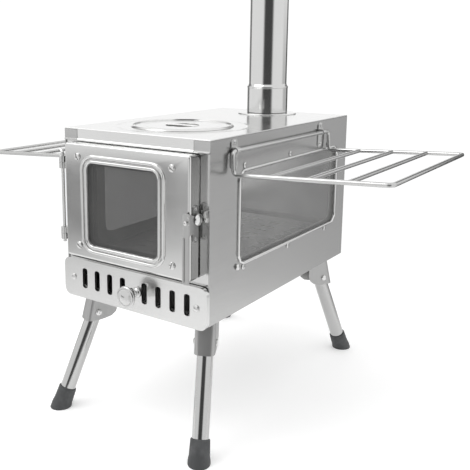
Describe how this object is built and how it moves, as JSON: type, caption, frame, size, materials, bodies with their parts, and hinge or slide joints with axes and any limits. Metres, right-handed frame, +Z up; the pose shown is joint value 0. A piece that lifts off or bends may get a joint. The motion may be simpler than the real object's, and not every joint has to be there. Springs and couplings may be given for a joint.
{
  "type": "tent wood stove",
  "caption": "Free-standing tent wood stove: glazed door and side walls, slotted air panel with sliding damper, folding wire side racks, folding splayed legs, cooking lid and flue pipe.",
  "frame": {"origin": "on the ground under the middle of the stove, halfway between the front and rear feet and between the two sides", "axes": "+Z up; -Y is the side with the door, the air panel and its knob; +X is to the right of someone facing the door, the latch's side, with the hinge at -X"},
  "size_m": [0.6308, 0.451, 0.9518],
  "materials": {
    "polished_steel": "polished, near mirror",
    "brushed_steel": "fine brushed satin",
    "heat_dulled_steel": "dulled by heat and soot",
    "smoked_glass": "clear ceramic glass over a dark fire chamber",
    "foot_rubber": "matt moulded"
  },
  "bodies": {
    "firebox": {"floor_pan": "brushed_steel", "rear_wall": "polished_steel", "front_sheet": "polished_steel", "cooking_top": "polished_steel", "grate": "heat_dulled_steel", "air_panel": "brushed_steel", "air_panel_screw_left": "polished_steel", "air_panel_screw_right": "polished_steel", "side_wall_left": "polished_steel", "window_lip_left": "polished_steel", "window_glass_left": "smoked_glass", "window_retainer_left": "brushed_steel", "rack_saddle_front_left": "brushed_steel", "rack_saddle_rear_left": "brushed_steel", "side_wall_right": "polished_steel", "window_lip_right": "polished_steel", "window_glass_right": "smoked_glass", "window_retainer_right": "brushed_steel", "rack_saddle_front_right": "brushed_steel", "rack_saddle_rear_right": "brushed_steel", "hinge_bracket_upper": "brushed_steel", "hinge_bracket_lower": "brushed_steel", "hinge_pin": "polished_steel", "latch_keeper": "brushed_steel", "flue_collar": "polished_steel", "leg_bracket_front_left": "brushed_steel", "leg_rivet_front_left": "polished_steel", "leg_bracket_front_right": "brushed_steel", "leg_rivet_front_right": "polished_steel", "leg_bracket_rear_left": "brushed_steel", "leg_rivet_rear_left": "polished_steel", "leg_bracket_rear_right": "brushed_steel", "leg_rivet_rear_right": "polished_steel"},
    "door": {"door_panel": "polished_steel", "door_glass": "smoked_glass", "door_glass_retainer": "brushed_steel", "door_screw_lower_left": "polished_steel", "door_screw_lower_right": "polished_steel", "door_screw_upper_left": "polished_steel", "door_screw_upper_right": "polished_steel", "door_lug_upper": "brushed_steel", "door_lug_lower": "brushed_steel", "latch_base": "brushed_steel", "latch_pin": "polished_steel"},
    "latch": {"latch_lever": "polished_steel"},
    "damper": {"damper_plate": "brushed_steel", "damper_knob": "polished_steel"},
    "lid": {"cooking_lid": "polished_steel"},
    "pipe_lower": {"flue_pipe_lower": "polished_steel"},
    "pipe_upper": {"flue_pipe_upper": "polished_steel"},
    "rack_left": {"rack_left": "polished_steel"},
    "rack_right": {"rack_right": "polished_steel"},
    "leg_front_left": {"leg_front_left": "polished_steel", "foot_front_left": "foot_rubber"},
    "leg_front_right": {"leg_front_right": "polished_steel", "foot_front_right": "foot_rubber"},
    "leg_rear_left": {"leg_rear_left": "polished_steel", "foot_rear_left": "foot_rubber"},
    "leg_rear_right": {"leg_rear_right": "polished_steel", "foot_rear_right": "foot_rubber"}
  },
  "joints": [
    {"name": "door_swing", "type": "hinge", "parent": "firebox", "child": "door", "pos_m": [-0.108, -0.2025, 0.299], "axis": [0, 0, -1], "range_deg": [0, 130]},
    {"name": "latch_lift", "type": "hinge", "parent": "door", "child": "latch", "pos_m": [0.10315, -0.197, 0.2985], "axis": [-1, 0, 0], "range_deg": [-2.5, 14]},
    {"name": "damper_slide", "type": "slide", "parent": "firebox", "child": "damper", "axis": [-1, 0, 0], "range_m": [0, 0.011]},
    {"name": "lid_lift", "type": "slide", "parent": "firebox", "child": "lid", "axis": [0, 0, 1], "range_m": [0, 0.06]},
    {"name": "pipe_lower_lift", "type": "slide", "parent": "firebox", "child": "pipe_lower", "axis": [0, 0, 1], "range_m": [0, 0.06]},
    {"name": "pipe_upper_lift", "type": "slide", "parent": "pipe_lower", "child": "pipe_upper", "axis": [0, 0, 1], "range_m": [0, 0.06]},
    {"name": "rack_left_fold", "type": "hinge", "parent": "firebox", "child": "rack_left", "pos_m": [-0.1204, -0.016, 0.374], "axis": [0, 1, 0], "range_deg": [0, 120]},
    {"name": "rack_right_fold", "type": "hinge", "parent": "firebox", "child": "rack_right", "pos_m": [0.1204, -0.016, 0.374], "axis": [0, -1, 0], "range_deg": [0, 120]},
    {"name": "leg_front_left_fold", "type": "hinge", "parent": "firebox", "child": "leg_front_left", "pos_m": [-0.0935, -0.162, 0.133], "axis": [0.8957, -0.4446, 0], "range_deg": [0, 112]},
    {"name": "leg_front_right_fold", "type": "hinge", "parent": "firebox", "child": "leg_front_right", "pos_m": [0.0935, -0.162, 0.133], "axis": [0.8957, 0.4446, 0], "range_deg": [0, 112]},
    {"name": "leg_rear_left_fold", "type": "hinge", "parent": "firebox", "child": "leg_rear_left", "pos_m": [-0.0935, 0.162, 0.133], "axis": [-0.8957, -0.4446, 0], "range_deg": [0, 112]},
    {"name": "leg_rear_right_fold", "type": "hinge", "parent": "firebox", "child": "leg_rear_right", "pos_m": [0.0935, 0.162, 0.133], "axis": [-0.8957, 0.4446, 0], "range_deg": [0, 112]}
  ]
}
